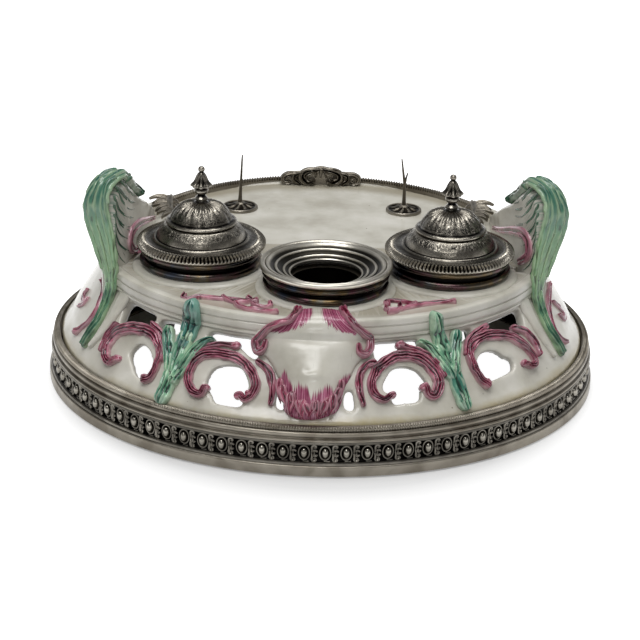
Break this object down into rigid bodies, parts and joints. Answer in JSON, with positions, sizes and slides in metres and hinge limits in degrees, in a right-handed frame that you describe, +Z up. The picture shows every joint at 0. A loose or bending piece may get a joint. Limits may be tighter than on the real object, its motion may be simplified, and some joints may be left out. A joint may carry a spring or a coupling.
{
  "type": "desk inkstand",
  "caption": "Oval desk inkstand: a pierced tin-glazed body with leaf wings in a beaded plated mount, lidded ink wells, an open centre well and a railed pen tray.",
  "frame": {"origin": "centre of the oval foot's underside, on the desk's surface", "axes": "+X to the inkstand's right as seen from its front, -Y towards the front (the pierced side), +Z up"},
  "size_m": [0.33, 0.3058, 0.1365],
  "materials": {
    "white_glaze": "gloss",
    "puce_glaze": "gloss",
    "green_glaze": "gloss",
    "pot_glaze": "gloss",
    "silver_plate": "silver plated, worn and tarnished",
    "dark_metal": "dark patina"
  },
  "bodies": {
    "stand": {"base_plinth": "silver_plate", "bead_band": "silver_plate", "milled_bezel": "silver_plate", "faience_body": "white_glaze", "front_cartouche": "white_glaze", "cartouche_scrolls": "puce_glaze", "gallery_scrolls": "puce_glaze", "leaf_sprigs": "green_glaze", "deck_scrolls": "puce_glaze", "side_scrolls": "puce_glaze", "left_wing": "white_glaze", "right_wing": "white_glaze", "left_wing_leaf": "green_glaze", "right_wing_leaf": "green_glaze", "tray_rail": "silver_plate", "rail_crest": "silver_plate", "left_rail_leaf": "silver_plate", "right_rail_leaf": "silver_plate", "rail_studs": "silver_plate", "left_rosette": "silver_plate", "right_rosette": "silver_plate", "left_pen_spike": "silver_plate", "right_pen_fork": "silver_plate", "rosette_nuts": "silver_plate", "left_collar": "silver_plate", "right_collar": "silver_plate", "collar_nuts": "silver_plate", "left_ink_pot": "pot_glaze", "right_ink_pot": "pot_glaze", "centre_collar": "silver_plate", "centre_dish": "silver_plate", "centre_socket": "dark_metal"},
    "left_cover": {"left_lid": "silver_plate", "left_lid_cap": "silver_plate", "left_finial": "silver_plate", "left_finial_nut": "silver_plate"},
    "right_cover": {"right_lid": "silver_plate", "right_lid_cap": "silver_plate", "right_finial": "silver_plate", "right_finial_nut": "silver_plate"}
  },
  "joints": [
    {"name": "left_lid_lift", "type": "slide", "parent": "stand", "child": "left_cover", "axis": [0, 0, 1], "range_m": [0, 0.03]},
    {"name": "right_lid_lift", "type": "slide", "parent": "stand", "child": "right_cover", "axis": [0, 0, 1], "range_m": [0, 0.03]}
  ]
}
